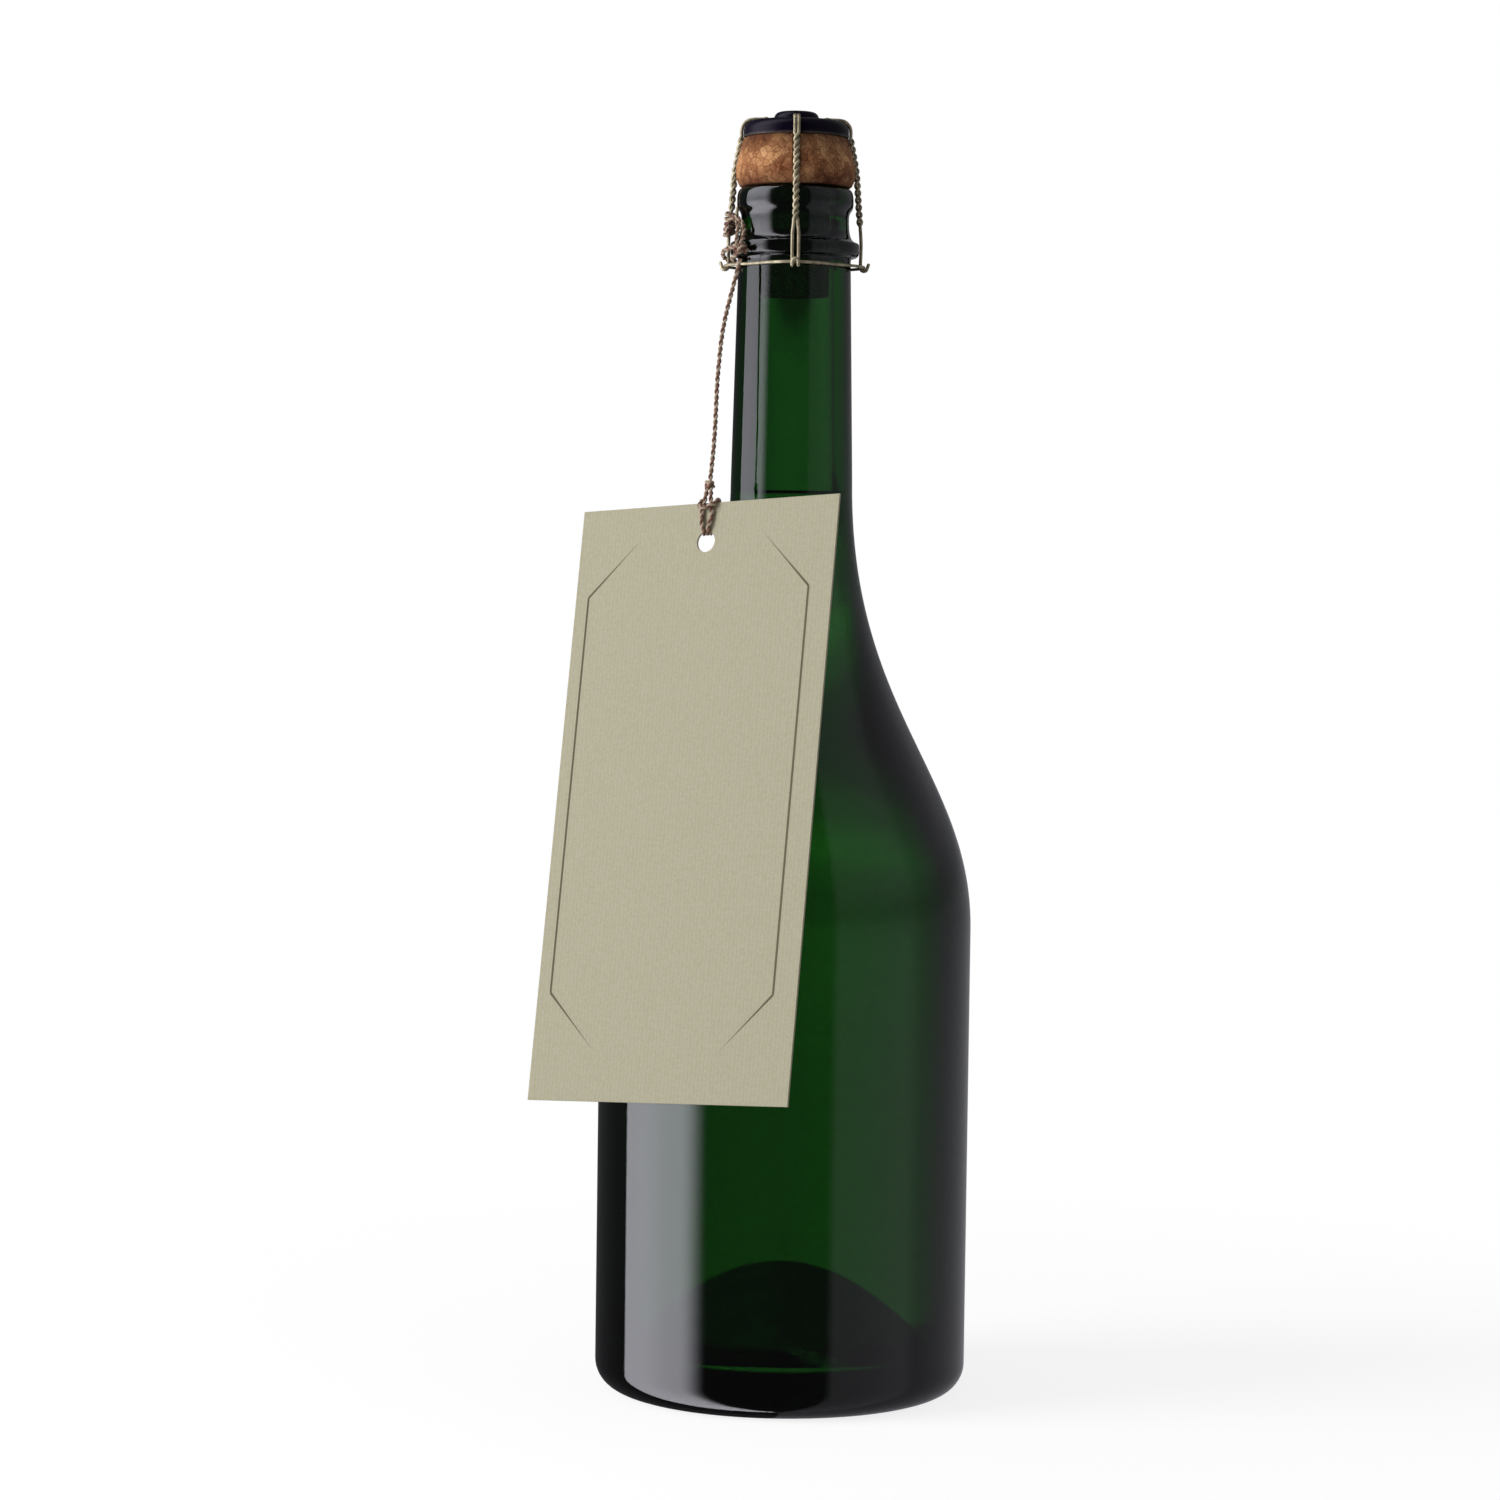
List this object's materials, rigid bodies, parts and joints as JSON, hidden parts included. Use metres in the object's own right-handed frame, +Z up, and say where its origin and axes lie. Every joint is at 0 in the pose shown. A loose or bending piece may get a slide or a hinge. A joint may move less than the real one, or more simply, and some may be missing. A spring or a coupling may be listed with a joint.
{
  "type": "sparkling wine bottle",
  "caption": "Sealed sparkling wine bottle of dark green glass with a punt, a mushroom cork held by a twisted wire cage, and a card tag hanging on twine.",
  "frame": {"origin": "centre of the base, on the surface that the bottle stands on", "axes": "+Z up along the bottle's axis, -Y towards the viewer of the picture, +X to the right"},
  "size_m": [0.1091, 0.1162, 0.319],
  "materials": {
    "green_glass": "gloss",
    "wine": "gloss",
    "agglomerated_cork": "matte",
    "natural_cork": "matte",
    "lacquered_tinplate": "satin",
    "brassed_wire": "satin",
    "twine": "matte",
    "card": "matte"
  },
  "bodies": {
    "bottle": {"glass_bottle": "green_glass", "wine": "wine"},
    "cork": {"cork_body": "agglomerated_cork", "cork_disc_upper": "natural_cork", "cork_disc_lower": "natural_cork"},
    "cage": {"cage_cap": "lacquered_tinplate", "cage_ring": "brassed_wire", "cage_leg_front": "brassed_wire", "cage_leg_right": "brassed_wire", "cage_leg_back": "brassed_wire", "cage_leg_left": "brassed_wire", "cage_belt": "brassed_wire", "cord_winding": "twine", "cord_knot": "twine"},
    "key": {"twist_loop": "brassed_wire"},
    "cord": {"tag_cord": "twine"},
    "tag": {"tag_loop": "twine", "hang_tag": "card"}
  },
  "joints": [
    {"name": "cork_pull", "type": "slide", "parent": "bottle", "child": "cork", "axis": [0, 0, 1], "range_m": [0, 0.06], "deforming": ["cage_belt"]},
    {"name": "cage_lift", "type": "slide", "parent": "cork", "child": "cage", "axis": [0, 0, 1], "range_m": [0, 0.05], "deforming": ["cage_belt"]},
    {"name": "loop_fold", "type": "hinge", "parent": "cage", "child": "key", "pos_m": [-0.01229, 0.01229, 0.2807], "axis": [-0.7071, -0.7071, 0], "range_deg": [0, 95]},
    {"name": "cord_swing", "type": "hinge", "parent": "cage", "child": "cord", "pos_m": [-0.01345, -0.01225, 0.28228], "axis": [-0.8231, 0.5678, 0], "range_deg": [0, 75]},
    {"name": "tag_swing", "type": "hinge", "parent": "cord", "child": "tag", "pos_m": [-0.02023, -0.016, 0.22605], "axis": [-0.8231, 0.5678, 0], "range_deg": [0, 90]}
  ]
}
